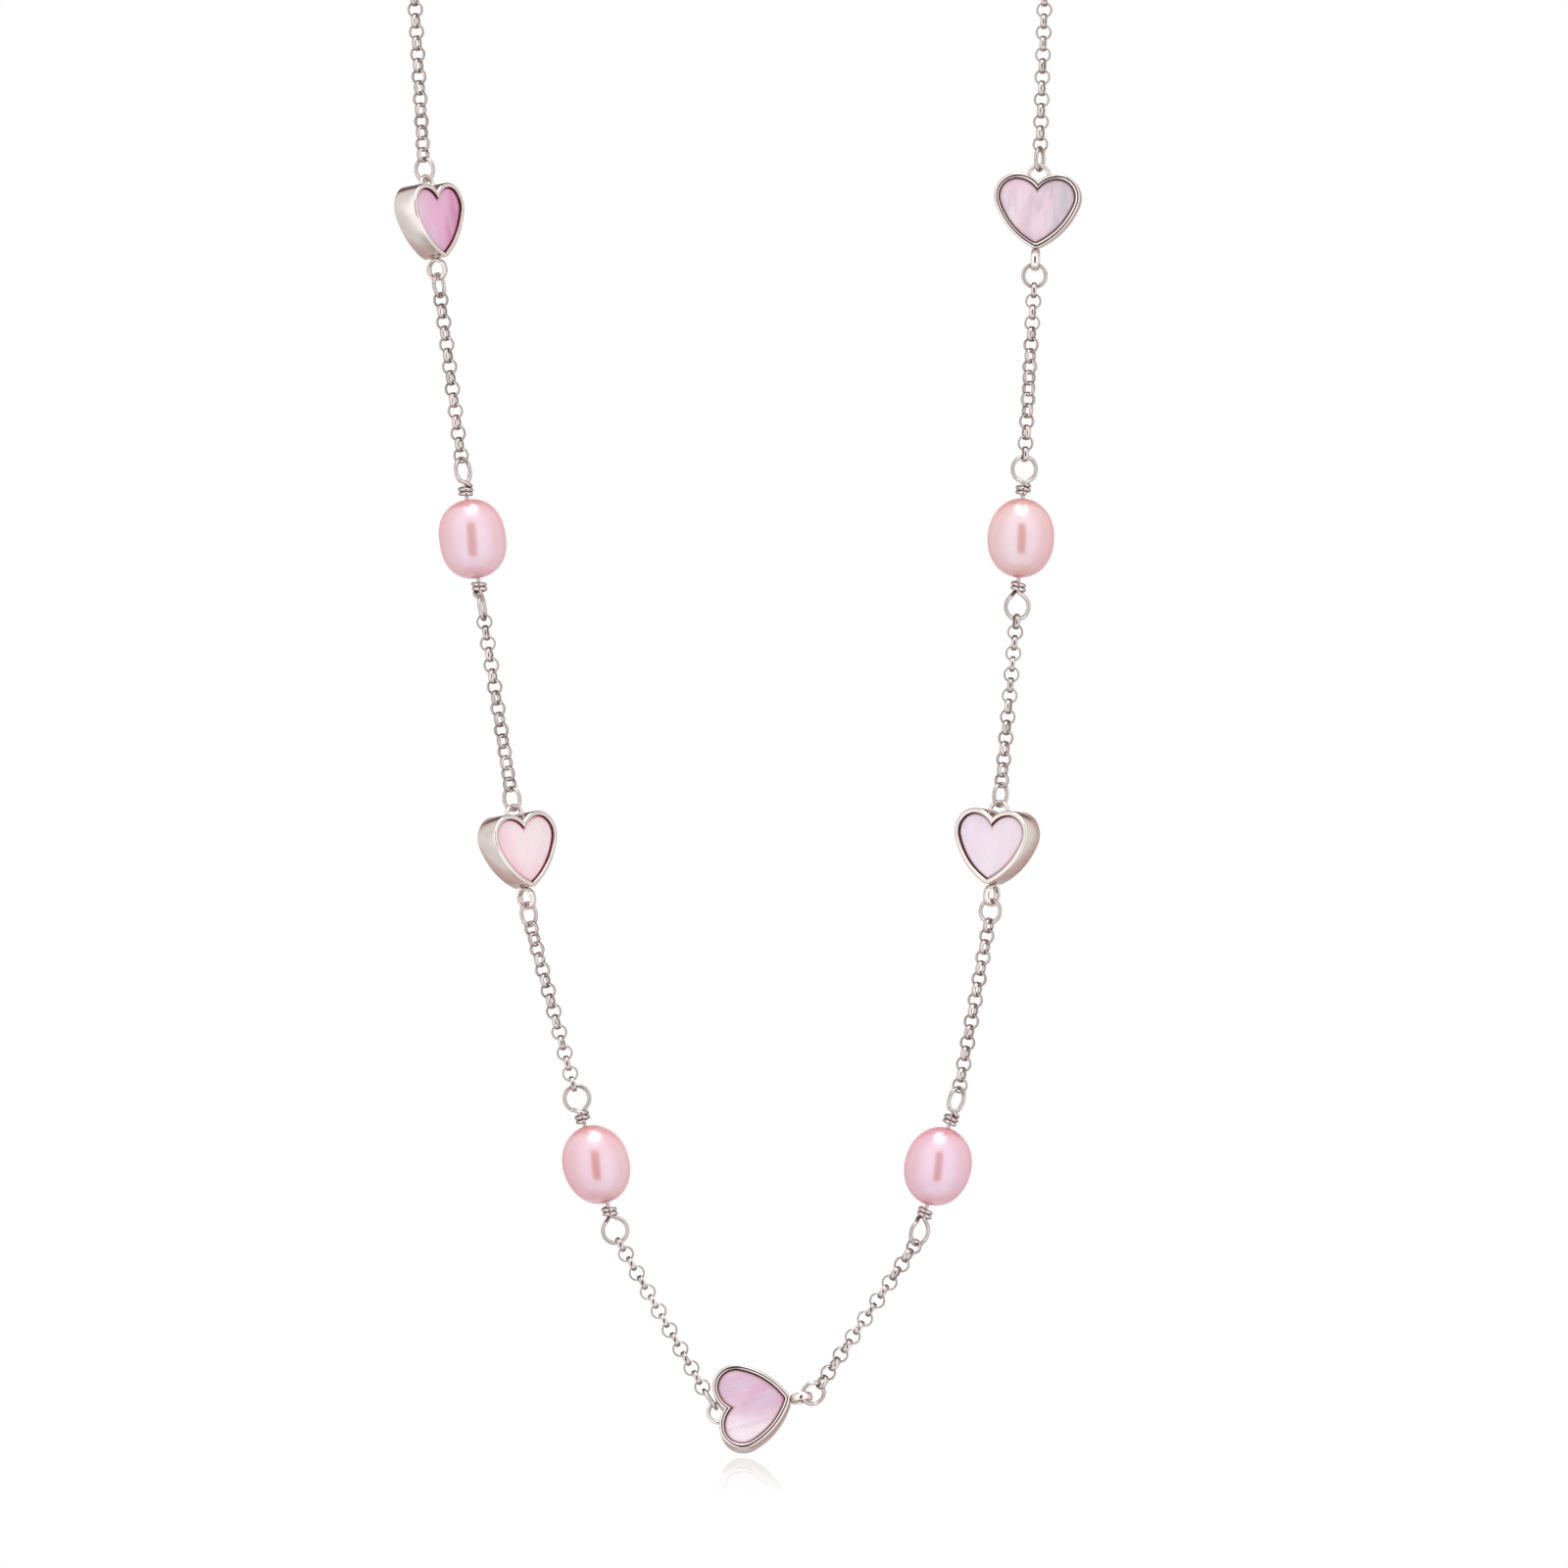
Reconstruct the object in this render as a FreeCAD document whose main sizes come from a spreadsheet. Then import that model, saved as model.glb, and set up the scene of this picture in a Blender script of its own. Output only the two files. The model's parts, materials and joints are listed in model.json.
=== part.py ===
import FreeCAD, Part
import math
import os
import Sketcher
from FreeCAD import Placement, Rotation, Vector

# A station necklace hanging in the XZ plane, +Z up, +X to the viewer's right, +Y away from the viewer.
# The origin is the top of the neck form it hangs on, under the end ring of the clasp. Millimetres.

DIMENSIONS = {
    # fine belcher chain
    "link_inner_radius": 0.67,
    "link_thickness": 0.2,
    "link_width": 0.54,
    "link_reach": 0.614,
    # round jump rings
    "jump_wire": 0.43,
    "jump_outer": 2.85,
    "jump_reach": 0.985,
    # heart outline, one half: a cleft arc, a lobe arc, a long side arc and the rounded tip
    "lobe_x": 2.2,
    "lobe_z": 1.6,
    "lobe_radius": 2.5,
    "cleft_radius": 3.2,
    "side_radius": 8.5,
    "side_centre_x": 3.427,
    "tip_radius": 0.95,
    "rim_width": 0.55,
    "heart_depth": 2.9,
    "partition": 0.5,
    "shell_thickness": 0.85,
    "glue_gap": 0.03,
    # loops soldered on the heart
    "cleft_loop_radius": 1.13,
    "cleft_loop_wire": 0.43,
    "cleft_loop_height": 3.87,
    "point_loop_radius": 1.04,
    "point_loop_thickness": 0.42,
    "point_loop_width": 0.85,
    "point_loop_height": 5.2,
    # pearl and its wire
    "pearl_width": 7.3,
    "pearl_length": 8.66,
    "pearl_bore": 0.56,
    "wire_size": 0.44,
    "wire_neck": 5.8,
    "wire_loop_radius": 1.36,
    "wire_loop_height": 7.47,
    "wrap_radius": 0.62,
    "wrap_pitch": 0.48,
    "wrap_turns": 2.0,
    # how the necklace hangs
    "arch_radius": 34.8,
    "arch_height": 32.6,
    "clasp_half_gap": 5.08,
    # spring-ring clasp
    "clasp_radius": 2.3,
    "clasp_tube": 1.2,
    "clasp_bore": 0.84,
    "bolt_size": 0.74,
    "clasp_loop_radius": 0.75,
    "clasp_loop_wire": 0.4,
    "end_ring_radius": 1.45,
    "end_ring_wire": 0.5,
    "nub_size": 0.28,
    "slot_width": 0.36,
    "spring_wire": 0.12,
    "spring_radius": 0.28,
    "spring_turns": 11,
}

# The stations of each strand from the top down: centre (x, z), lean of the strand from straight down
# (positive moves right), and how far the piece is turned about the strand (0 faces the viewer).
HEARTS = {
    "1_left": (-32.2, -71.4, 7.0, 57.0),
    "1_right": (33.6, -70.3, -2.5, -6.0),
    "3_left": (-22.6, -139.7, 8.3, 45.0),
    "3_right": (29.1, -139.3, -5.0, -34.0),
    "5": (2.85, -199.95, 100.0, 16.0),
}
# The last two numbers turn the upper and the lower loop of the wire.
PEARLS = {
    "2_left": (-27.7, -105.8, 8.0, 58.0, 80.0),
    "2_right": (31.8, -105.7, -2.9, 18.0, 22.0),
    "4_left": (-14.3, -173.7, 16.1, 4.0, 8.0),
    "4_right": (22.8, -173.9, -15.5, 55.0, 47.0),
}
# Turn of the jump ring above and below each heart.
# For the lowest heart: the turn and the lean of the ring on each side.
JUMP_TURNS = {
    "1_left": (-38.0, 66.0),
    "1_right": (70.0, 0.0),
    "3_left": (-45.0, 52.0),
    "3_right": (54.0, -30.0),
    "5_left": (90.0, 34.0),
    "5_right": (24.0, -41.0),
}

# how much less than a tight fit two linked rings are drawn apart
PLAY = 0.025

os.makedirs("parts", exist_ok=True)
doc = FreeCAD.newDocument("Necklace")
sheet = doc.addObject("Spreadsheet::Sheet", "Dimensions")
for row, (alias, number) in enumerate(DIMENSIONS.items(), start=1):
    sheet.set(f"A{row}", alias.replace("_", " "))
    sheet.set(f"B{row}", str(number))
    sheet.setAlias(f"B{row}", alias)
doc.recompute()
subparts = []


def size(alias):
    """A driving dimension, read back from the spreadsheet."""
    return float(sheet.get(alias))


def bind(piece, **sizes):
    """Tie the sizes of a piece to the spreadsheet."""
    for name, rule in sizes.items():
        piece.setExpression(name, rule)


def keep(piece, label, placement=None):
    """Name a piece as a sub-part and set it in its place."""
    piece.Label = label
    if placement is not None:
        piece.Placement = placement
    subparts.append(piece)
    return piece


# ---------------------------------------------------------------- directions


def strand_direction(lean):
    """The way down a strand that leans from straight down by this many degrees."""
    angle = math.radians(lean)
    return Vector(math.sin(angle), 0, -math.cos(angle))


def ring_rotation(direction, turn):
    """Turn a ring made about Z so that it lies along the strand, its axis turned from Y about the strand."""
    side = Vector(-direction.z, 0, direction.x)
    angle = math.radians(turn)
    axis = Vector(0, 1, 0) * math.cos(angle) - side * math.sin(angle)
    return Rotation(direction, axis.cross(direction), axis, "ZXY")


def upright_rotation(direction, turn):
    """Turn a piece made along Z, with its face towards -Y, so that its foot points down the strand."""
    side = Vector(-direction.z, 0, direction.x)
    angle = math.radians(turn)
    away = Vector(0, 1, 0) * math.cos(angle) - side * math.sin(angle)
    return Rotation(away.cross(-direction), away, -direction, "ZXY")


# ---------------------------------------------------------------- sketches


def plane_of(body, role):
    return next(o for o in body.Origin.OriginFeatures if o.Role == role)


def new_sketch(body, name, role, offset_rule=None):
    """A sketch on one of the body's own planes, moved off it by a rule in the spreadsheet's names."""
    sketch = body.newObject("Sketcher::SketchObject", name)
    sketch.AttachmentSupport = (plane_of(body, role), [""])
    sketch.MapMode = "FlatFace"
    if offset_rule:
        sketch.setExpression("AttachmentOffset.Base.z", offset_rule)
    return sketch


def driven(sketch, kind, *where, rule, value):
    """Add a dimension to a sketch and bind it to the spreadsheet."""
    index = sketch.addConstraint(Sketcher.Constraint(kind, *where, value))
    sketch.setExpression(f"Constraints[{index}]", rule)


def arc(x, z, radius, start, end):
    circle = Part.Circle(Vector(x, z, 0), Vector(0, 0, 1), radius)
    return Part.ArcOfCircle(circle, math.radians(start), math.radians(end))


def heart_outline(sketch, inset, inset_rule):
    """A closed heart, symmetric about the sketch's vertical axis, set in from the outer outline by inset."""
    x, z = size("lobe_x"), size("lobe_z")
    lobe = size("lobe_radius")
    cleft = size("cleft_radius")
    side = size("side_radius")
    side_x = -size("side_centre_x")
    side_z = z + math.sqrt((side - lobe) ** 2 - (x - side_x) ** 2)
    cleft_z = z + lobe - cleft
    join = math.degrees(math.atan2(z - side_z, x - side_x))
    tip_radius = size("tip_radius")
    tip_z = side_z - math.sqrt((side - tip_radius) ** 2 - side_x**2)
    tip = -math.degrees(math.acos(-side_x / (side - tip_radius)))
    notch = math.degrees(math.acos(-x / (cleft - inset)))
    arcs = [
        arc(side_x, side_z, side - inset, tip, join),
        arc(x, z, lobe - inset, join, 90),
        arc(x, cleft_z, cleft - inset, 90, notch),
        arc(-x, cleft_z, cleft - inset, 180 - notch, 90),
        arc(-x, z, lobe - inset, 90, 180 - join),
        arc(-side_x, side_z, side - inset, 180 - join, 180 - tip),
        arc(0, tip_z, tip_radius - inset, -180 - tip, tip),
    ]
    first = sketch.addGeometry(arcs, False)[0]
    right_side, right_lobe, right_cleft, left_cleft, left_lobe, left_side, tip_arc = range(first, first + 7)
    sketch.addConstraint(
        [
            Sketcher.Constraint("Tangent", right_side, 2, right_lobe, 1),
            Sketcher.Constraint("Tangent", right_lobe, 2, right_cleft, 1),
            Sketcher.Constraint("PointOnObject", right_cleft, 2, -2),
            Sketcher.Constraint("PointOnObject", tip_arc, 3, -2),
            Sketcher.Constraint("Vertical", right_cleft, 3, right_lobe, 3),
            Sketcher.Constraint("Coincident", left_cleft, 1, right_cleft, 2),
            Sketcher.Constraint("Tangent", left_cleft, 2, left_lobe, 1),
            Sketcher.Constraint("Tangent", left_lobe, 2, left_side, 1),
            Sketcher.Constraint("Tangent", left_side, 2, tip_arc, 1),
            Sketcher.Constraint("Tangent", tip_arc, 2, right_side, 1),
        ]
    )
    driven(sketch, "DistanceX", -1, 1, right_lobe, 3, rule="Dimensions.lobe_x", value=x)
    driven(sketch, "DistanceY", -1, 1, right_lobe, 3, rule="Dimensions.lobe_z", value=z)
    driven(sketch, "DistanceX", right_side, 3, -1, 1, rule="Dimensions.side_centre_x", value=-side_x)
    driven(sketch, "DistanceX", left_lobe, 3, -1, 1, rule="Dimensions.lobe_x", value=x)
    driven(sketch, "DistanceY", -1, 1, left_lobe, 3, rule="Dimensions.lobe_z", value=z)
    for lobe_arc in (right_lobe, left_lobe):
        rule = f"Dimensions.lobe_radius - {inset_rule}"
        driven(sketch, "Radius", lobe_arc, rule=rule, value=lobe - inset)
    for cleft_arc in (right_cleft, left_cleft):
        rule = f"Dimensions.cleft_radius - {inset_rule}"
        driven(sketch, "Radius", cleft_arc, rule=rule, value=cleft - inset)
    for side_arc in (right_side, left_side):
        rule = f"Dimensions.side_radius - {inset_rule}"
        driven(sketch, "Radius", side_arc, rule=rule, value=side - inset)
    driven(sketch, "Radius", tip_arc, rule=f"Dimensions.tip_radius - {inset_rule}", value=tip_radius - inset)


def band_profile(sketch, centre, width, thickness, centre_rule, width_rule, thickness_rule):
    """The section of a flat band with round edges, its width along x, its middle at height centre."""
    r = thickness / 2
    half = width / 2 - r
    low, high = centre - r, centre + r
    flats = [
        Part.LineSegment(Vector(-half, low, 0), Vector(half, low, 0)),
        Part.LineSegment(Vector(half, high, 0), Vector(-half, high, 0)),
    ]
    ends = [arc(half, centre, r, -90, 90), arc(-half, centre, r, 90, 270)]
    lower, upper = sketch.addGeometry(flats, False)
    right, left = sketch.addGeometry(ends, False)
    sketch.addConstraint(
        [
            Sketcher.Constraint("Tangent", lower, 2, right, 1),
            Sketcher.Constraint("Tangent", right, 2, upper, 1),
            Sketcher.Constraint("Tangent", upper, 2, left, 1),
            Sketcher.Constraint("Tangent", left, 2, lower, 1),
            Sketcher.Constraint("Horizontal", lower),
            Sketcher.Constraint("Symmetric", right, 3, left, 3, -2),
        ]
    )
    spread = f"{width_rule} - {thickness_rule}"
    driven(sketch, "DistanceX", left, 3, right, 3, rule=spread, value=2 * half)
    driven(sketch, "DistanceY", -1, 1, right, 3, rule=centre_rule, value=centre)
    driven(sketch, "Radius", right, rule=f"({thickness_rule}) / 2", value=r)


def pad(body, name, sketch, length_rule):
    """A pad that grows by the same amount to both sides of its sketch."""
    feature = body.newObject("PartDesign::Pad", name)
    feature.Profile = sketch
    feature.SideType = "Symmetric"
    feature.setExpression("Length", length_rule)
    return feature


def revolve(body, name, sketch, axis):
    feature = body.newObject("PartDesign::Revolution", name)
    feature.Profile = sketch
    feature.ReferenceAxis = (sketch, [axis])
    feature.Angle = 360
    return feature


# ---------------------------------------------------------------- hearts


def heart_bezel(where, placement):
    """The silver heart: a wall round a thin partition, with a loop in the cleft and one on the point."""
    body = doc.addObject("PartDesign::Body", f"HeartBezel{where}")
    wall = new_sketch(body, f"WallOutline{where}", "XZ_Plane")
    heart_outline(wall, 0.0, "0")
    heart_outline(wall, size("rim_width"), "Dimensions.rim_width")
    pad(body, f"Wall{where}", wall, "Dimensions.heart_depth")
    middle = new_sketch(body, f"PartitionOutline{where}", "XZ_Plane")
    heart_outline(middle, size("rim_width") / 2, "Dimensions.rim_width / 2")
    pad(body, f"Partition{where}", middle, "Dimensions.partition")

    ring = new_sketch(body, f"CleftLoopSection{where}", "XY_Plane", "Dimensions.cleft_loop_height")
    wire = size("cleft_loop_wire") / 2
    reach = size("cleft_loop_radius")
    ring.addGeometry(Part.Circle(Vector(reach, 0, 0), Vector(0, 0, 1), wire), False)
    ring.addConstraint(Sketcher.Constraint("PointOnObject", 0, 3, -1))
    driven(ring, "DistanceX", -1, 1, 0, 3, rule="Dimensions.cleft_loop_radius", value=reach)
    driven(ring, "Radius", 0, rule="Dimensions.cleft_loop_wire / 2", value=wire)
    revolve(body, f"CleftLoop{where}", ring, "V_Axis")

    band = new_sketch(body, f"PointLoopSection{where}", "XY_Plane", "-Dimensions.point_loop_height")
    band_profile(
        band,
        size("point_loop_radius"),
        size("point_loop_width"),
        size("point_loop_thickness"),
        "Dimensions.point_loop_radius",
        "Dimensions.point_loop_width",
        "Dimensions.point_loop_thickness",
    )
    revolve(body, f"PointLoop{where}", band, "H_Axis")
    keep(body, f"heart_bezel_{where}", placement)


def heart_inlay(where, face, side, placement):
    """A flat mother-of-pearl heart glued in one side of the bezel; side is +1 towards the viewer, -1 away."""
    body = doc.addObject("PartDesign::Body", f"Inlay{face}{where}")
    middle = "(Dimensions.partition / 2 + Dimensions.glue_gap + Dimensions.shell_thickness / 2)"
    sketch = new_sketch(body, f"InlayOutline{face}{where}", "XZ_Plane", f"{side} * {middle}")
    inset = size("rim_width") + size("glue_gap")
    heart_outline(sketch, inset, "(Dimensions.rim_width + Dimensions.glue_gap)")
    pad(body, f"InlaySlab{face}{where}", sketch, "Dimensions.shell_thickness")
    keep(body, f"inlay_{face}_{where}", placement)


def heart(where):
    x, z, lean, turn = HEARTS[where]
    placement = Placement(Vector(x, 0, z), upright_rotation(strand_direction(lean), turn))
    heart_bezel(where, placement)
    heart_inlay(where, "front", 1, placement)
    heart_inlay(where, "back", -1, placement)


def heart_ends(where):
    """Where the rings above and below a heart touch its loops."""
    x, z, lean, _ = HEARTS[where]
    down = strand_direction(lean)
    centre = Vector(x, 0, z)
    cleft_reach = size("cleft_loop_radius") - size("cleft_loop_wire") / 2 - PLAY
    point_reach = size("point_loop_radius") - size("point_loop_thickness") / 2 - 3 * PLAY
    top = centre - down * (size("cleft_loop_height") + cleft_reach)
    foot = centre + down * (size("point_loop_height") + point_reach)
    return top, foot


# ---------------------------------------------------------------- pearls


def pearl(where):
    """An oval pearl with a bore along its length."""
    x, z, lean, _, _ = PEARLS[where]
    whole = doc.addObject("Part::Ellipsoid", f"PearlBlank{where}")
    bind(
        whole,
        Radius1="Dimensions.pearl_length / 2",
        Radius2="Dimensions.pearl_width / 2",
        Radius3="Dimensions.pearl_width / 2",
    )
    bore = doc.addObject("Part::Cylinder", f"PearlBore{where}")
    bind(bore, Radius="Dimensions.pearl_bore / 2", Height="Dimensions.pearl_length * 1.2")
    bore.setExpression("Placement.Base.z", "-Dimensions.pearl_length * 0.6")
    drilled = doc.addObject("Part::Cut", f"Pearl{where}")
    drilled.Base = whole
    drilled.Tool = bore
    place = Placement(Vector(x, 0, z), upright_rotation(strand_direction(lean), 0))
    keep(drilled, f"pearl_{where}", place)


def evenly(points, step):
    """The same line as points, cut into steps of one length."""
    line = [points[0]]
    carried = 0.0
    for start, end in zip(points, points[1:]):
        length = (end - start).Length
        along = step - carried
        while along <= length:
            line.append(start + (end - start) * (along / length))
            along += step
        carried = length - (along - step)
    return line


def softened(points, passes):
    """The same line with its corners rounded, its two ends kept."""
    for _ in range(passes):
        inner = [(a + b * 2 + c) * 0.25 for a, b, c in zip(points, points[1:], points[2:])]
        points = [points[0]] + inner + [points[-1]]
    return points


def half_wire_path():
    """The middle line of the upper half of a pearl's wire: stem, teardrop loop, wraps down round the stem."""
    neck = size("wire_neck")
    loop = size("wire_loop_radius")
    height = size("wire_loop_height")
    wrap = size("wrap_radius")
    turns = size("wrap_turns")
    lean = math.degrees(math.asin(loop / (height - neck)))
    points = [Vector(0, 0, 0), Vector(0, 0, neck)]
    for k in range(41):
        angle = math.radians(-lean + (180 + 2 * lean) * k / 40)
        points.append(Vector(loop * math.cos(angle), 0, height + loop * math.sin(angle)))
    # the wire comes back in front of the stem and joins the wraps
    points.append(Vector(-0.5, -wrap * 0.6, neck + 0.42))
    joined = softened(evenly(points + [Vector(-0.1, -wrap, neck + 0.04)], 0.14), 4)
    wraps = []
    steps = round(turns * 20)
    for k in range(1, steps + 1):
        angle = math.radians(-90 + 360 * turns * k / steps)
        drop = size("wrap_pitch") * turns * k / steps
        wraps.append(Vector(wrap * math.cos(angle), wrap * math.sin(angle), neck - drop))
    return joined[:-1] + wraps


def swept(points, wire_radius):
    """Round wire along a smooth line through the points."""
    path = Part.BSplineCurve()
    path.interpolate(points)
    along = path.tangent(path.FirstParameter)[0]
    section = Part.Wire([Part.makeCircle(wire_radius, points[0], along)])
    return Part.Wire([path.toShape()]).makePipeShell([section], True, False)


def pearl_wire(where):
    """One wire: wraps, lower loop, stem through the pearl, upper loop, wraps."""
    x, z, lean, upper_turn, lower_turn = PEARLS[where]
    half = half_wire_path()
    upper = swept(half, size("wire_size") / 2)
    lower = upper.copy()
    upper.Placement = Placement(Vector(), Rotation(Vector(0, 0, 1), upper_turn))
    about_x = Rotation(Vector(1, 0, 0), 180)
    lower.Placement = Placement(Vector(), Rotation(Vector(0, 0, 1), lower_turn) * about_x)
    wire = doc.addObject("Part::Feature", f"PearlWire{where}")
    wire.Shape = upper.fuse(lower)
    place = Placement(Vector(x, 0, z), upright_rotation(strand_direction(lean), 0))
    keep(wire, f"pearl_wire_{where}", place)


def pearl_ends(where):
    """Where the chain touches the upper and lower loops of a pearl's wire."""
    x, z, lean, _, _ = PEARLS[where]
    down = strand_direction(lean)
    reach = size("wire_loop_height") + size("wire_loop_radius") - size("wire_size") / 2 - 4 * PLAY
    centre = Vector(x, 0, z)
    return centre - down * reach, centre + down * reach


# ---------------------------------------------------------------- rings and chain


def link_master():
    """One belcher link about the Z axis: a flat band with round edges, closed into a ring."""
    body = doc.addObject("PartDesign::Body", "BelcherLink")
    sketch = new_sketch(body, "LinkSection", "XZ_Plane")
    thickness = size("link_thickness")
    centre = size("link_inner_radius") + thickness / 2
    r = thickness / 2
    half = size("link_width") / 2 - r
    sides = [
        Part.LineSegment(Vector(centre + r, -half, 0), Vector(centre + r, half, 0)),
        Part.LineSegment(Vector(centre - r, half, 0), Vector(centre - r, -half, 0)),
    ]
    ends = [arc(centre, half, r, 0, 180), arc(centre, -half, r, 180, 360)]
    outer, inner = sketch.addGeometry(sides, False)
    top, foot = sketch.addGeometry(ends, False)
    sketch.addConstraint(
        [
            Sketcher.Constraint("Tangent", outer, 2, top, 1),
            Sketcher.Constraint("Tangent", top, 2, inner, 1),
            Sketcher.Constraint("Tangent", inner, 2, foot, 1),
            Sketcher.Constraint("Tangent", foot, 2, outer, 1),
            Sketcher.Constraint("Vertical", outer),
            Sketcher.Constraint("Symmetric", top, 3, foot, 3, -1),
        ]
    )
    spread = "Dimensions.link_width - Dimensions.link_thickness"
    middle = "Dimensions.link_inner_radius + Dimensions.link_thickness / 2"
    driven(sketch, "DistanceY", foot, 3, top, 3, rule=spread, value=2 * half)
    driven(sketch, "DistanceX", -1, 1, top, 3, rule=middle, value=centre)
    driven(sketch, "Radius", top, rule="Dimensions.link_thickness / 2", value=r)
    revolve(body, "LinkRing", sketch, "V_Axis")
    doc.recompute()
    return body.Shape.Solids[0]


def chain_node(label, places):
    """A run of separate links under one name. places holds each link's centre, direction and turn."""
    links = []
    for centre, direction, turn in places:
        link = master.copy()
        link.Placement = Placement(centre, ring_rotation(direction, turn))
        links.append(link)
    run = doc.addObject("Part::Feature", label.title().replace("_", ""))
    run.Shape = Part.makeCompound(links)
    keep(run, label)


def straight_run(start, end, first_turn, last_turn):
    """Links between two contact points. Neighbours stand about 90 degrees to each other; what is left over
    between the two end turns is shared out along the run."""
    span = end - start
    count = math.ceil(span.Length / (2 * size("link_reach")))
    direction = Vector(span).normalize()
    left_over = (last_turn - first_turn - 90 * (count - 1) + 90) % 180 - 90
    places = []
    for k in range(count):
        turn = first_turn + 90 * k + left_over * k / (count - 1)
        places.append((start + span * ((k + 0.5) / count), direction, turn))
    return places


def round_ring(label, centre, direction, turn, radius_rule, wire_rule):
    """A round ring of round wire."""
    ring = doc.addObject("Part::Torus", label.title().replace("_", ""))
    bind(ring, Radius1=radius_rule, Radius2=wire_rule)
    keep(ring, label, Placement(centre, ring_rotation(direction, turn)))


def jump_ring(label, centre, direction, turn):
    radius_rule = "(Dimensions.jump_outer - Dimensions.jump_wire) / 2"
    round_ring(label, centre, direction, turn, radius_rule, "Dimensions.jump_wire / 2")


def back_chain(side):
    """Links from the clasp over the neck form to the first hinge link, at the level of the arch's centre."""
    sign = -1 if side == "left" else 1
    radius = size("arch_radius")
    beside = size("clasp_half_gap")
    start = math.asin(beside / radius)
    pitch = 2 * math.asin(size("link_reach") / radius)
    count = round((math.pi / 2 - start) / pitch + 0.5)
    step = (math.pi / 2 - start) / (count - 0.5)
    places = []
    for k in range(count):
        angle = start + (k + 0.5) * step
        chord = radius * math.cos(step / 2)
        centre = Vector(sign * chord * math.sin(angle), 0, chord * math.cos(angle) - size("arch_height"))
        direction = Vector(sign * math.cos(angle), 0, -math.sin(angle))
        first_turn = 90 + (0 if count % 2 else 90)
        places.append((centre, direction, first_turn + 90 * k))
    last_centre, last_direction, _ = places[-1]
    chain_node(f"back_chain_{side}", places)
    return last_centre + last_direction * size("link_reach")


# ---------------------------------------------------------------- clasp


def tube_piece(name, size_rule, start, end):
    """Part of a ring of round section in the clasp's own plane, between two angles."""
    piece = doc.addObject("Part::Torus", name)
    bind(piece, Radius1="Dimensions.clasp_radius", Radius2=size_rule)
    piece.Angle3 = end - start
    piece.Placement = Placement(Vector(), Rotation(Vector(0, 0, 1), start))
    return piece


def combined(kind, name, *pieces):
    piece = doc.addObject(kind, name)
    if kind == "Part::MultiFuse":
        piece.Shapes = list(pieces)
    else:
        piece.Base, piece.Tool = pieces
    return piece


MOUTH_START, MOUTH_END = 20, 75
SLOT_START, SLOT_END = 79, 156
NUB_ANGLE = 85
BOLT_START, BOLT_END = 11, 130
SPRING_STOP = 292


def clasp_tube(placement):
    """A hollow ring, open at its mouth, with a slot for the nub and a soldered loop for the chain."""
    outer = tube_piece("ClaspTubeOuter", "Dimensions.clasp_tube / 2", MOUTH_END, 360 + MOUTH_START)
    bore = tube_piece("ClaspBore", "Dimensions.clasp_bore / 2", MOUTH_END - 2, SPRING_STOP)
    socket = tube_piece("ClaspSocket", "Dimensions.clasp_bore / 2", BOLT_START - 3, MOUTH_START + 2)
    slot_outer = doc.addObject("Part::Cylinder", "SlotOuter")
    slot_inner = doc.addObject("Part::Cylinder", "SlotInner")
    slot_sizes = ((slot_outer, "Dimensions.clasp_radius + 1"), (slot_inner, "Dimensions.clasp_radius"))
    for cylinder, rule in slot_sizes:
        bind(cylinder, Radius=rule, Height="Dimensions.slot_width")
        cylinder.Angle = SLOT_END - SLOT_START
        cylinder.Placement = Placement(Vector(), Rotation(Vector(0, 0, 1), SLOT_START))
        cylinder.setExpression("Placement.Base.z", "-Dimensions.slot_width / 2")
    slot = combined("Part::Cut", "ClaspSlot", slot_outer, slot_inner)
    loop = doc.addObject("Part::Torus", "ClaspLoop")
    bind(loop, Radius1="Dimensions.clasp_loop_radius", Radius2="Dimensions.clasp_loop_wire / 2")
    reach = "-(Dimensions.clasp_radius + Dimensions.clasp_tube / 2 + Dimensions.clasp_loop_radius)"
    loop.setExpression("Placement.Base.x", reach)
    solid = combined("Part::MultiFuse", "ClaspSolid", outer, loop)
    bored = combined("Part::Cut", "ClaspBored", solid, bore)
    socketed = combined("Part::Cut", "ClaspSocketed", bored, socket)
    keep(combined("Part::Cut", "ClaspTube", socketed, slot), "clasp_tube", placement)


def clasp_bolt(placement):
    """The curved bolt that closes the mouth, with the nub that a thumb pulls."""
    rod = tube_piece("ClaspBoltRod", "Dimensions.bolt_size / 2", BOLT_START, BOLT_END)
    nub = doc.addObject("Part::Cylinder", "ClaspNub")
    bind(nub, Radius="Dimensions.nub_size / 2", Height="Dimensions.clasp_tube / 2 + 0.4")
    angle = math.radians(NUB_ANGLE)
    outward = Vector(math.cos(angle), math.sin(angle), 0)
    nub.Placement = Placement(outward * size("clasp_radius"), Rotation(Vector(0, 0, 1), outward))
    keep(combined("Part::MultiFuse", "ClaspBolt", rod, nub), "clasp_bolt", placement)


def clasp_spring(placement):
    """A coil spring bent round the tube's bore, between the bolt and the stop."""
    coil = size("spring_radius")
    start = BOLT_END + 3
    end = SPRING_STOP - 3
    turns = size("spring_turns")
    points = []
    steps = round(turns * 10)
    for k in range(steps + 1):
        along = math.radians(start + (end - start) * k / steps)
        around = 2 * math.pi * turns * k / steps
        reach = size("clasp_radius") + coil * math.cos(around)
        points.append(Vector(reach * math.cos(along), reach * math.sin(along), coil * math.sin(around)))
    spring = doc.addObject("Part::Feature", "ClaspSpring")
    spring.Shape = swept(points, size("spring_wire") / 2)
    keep(spring, "clasp_spring", placement)


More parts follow.
